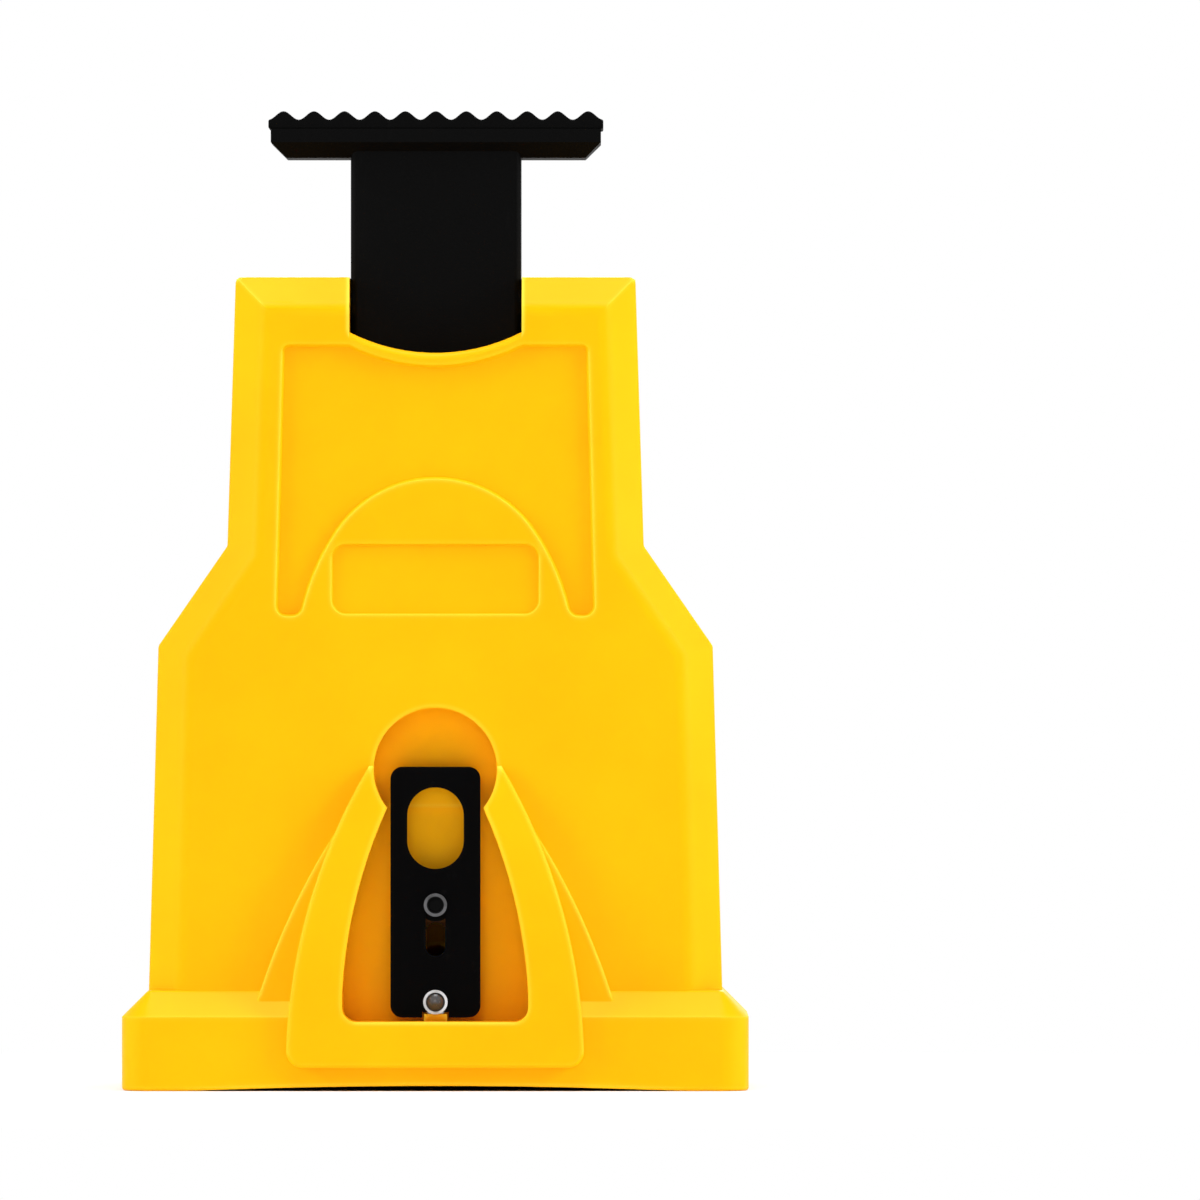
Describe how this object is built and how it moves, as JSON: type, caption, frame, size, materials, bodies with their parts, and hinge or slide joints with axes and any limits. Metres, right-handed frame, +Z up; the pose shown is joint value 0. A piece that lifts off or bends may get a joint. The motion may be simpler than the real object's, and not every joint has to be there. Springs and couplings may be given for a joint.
{
  "type": "chainsaw sharpener",
  "caption": "Clamp-on chainsaw sharpener: hinged housing that closes over the guide bar's tip, with a sprung push plunger that presses a curved stone on the chain.",
  "frame": {"origin": "bottom centre of the bounding box, in the middle of the bar slot's mouth", "axes": "+Z up to the push head, -Y the front with the latch, +X to the right as seen from the front"},
  "size_m": [0.1052, 0.056, 0.1646],
  "materials": {
    "yellow_shell": "satin moulded",
    "black_moulding": "fine grain",
    "black_tread": "ridged",
    "grey_carrier": "fine grain",
    "pink_stone": "bonded grit",
    "black_plate": "black oxide",
    "bright_steel": "plated",
    "spring_steel": "drawn wire"
  },
  "bodies": {
    "rear_body": {"rear_body": "yellow_shell", "hinge_pin_left": "bright_steel", "hinge_pin_right": "bright_steel", "return_spring": "spring_steel"},
    "front_cover": {"front_cover": "yellow_shell", "guide_stud": "bright_steel", "friction_washer": "black_moulding"},
    "latch": {"latch_plate": "black_plate", "latch_pin": "bright_steel", "pin_collar": "bright_steel"},
    "plunger": {"plunger": "black_moulding", "tread_pad": "black_tread", "stone_carrier": "grey_carrier", "sharpening_stone": "pink_stone"}
  },
  "joints": [
    {"name": "plunger_slide", "type": "slide", "parent": "rear_body", "child": "plunger", "axis": [0, 0, -1], "range_m": [0, 0.01], "stiffness_N_per_m": 400, "springref_m": -0.015, "deforming": ["return_spring"]},
    {"name": "cover_hinge", "type": "hinge", "parent": "rear_body", "child": "front_cover", "pos_m": [0, -0.0101, 0.1334], "axis": [-1, 0, 0], "range_deg": [0, 100]},
    {"name": "latch_slide", "type": "slide", "parent": "front_cover", "child": "latch", "axis": [0, 0, 1], "range_m": [0, 0.0068]}
  ]
}
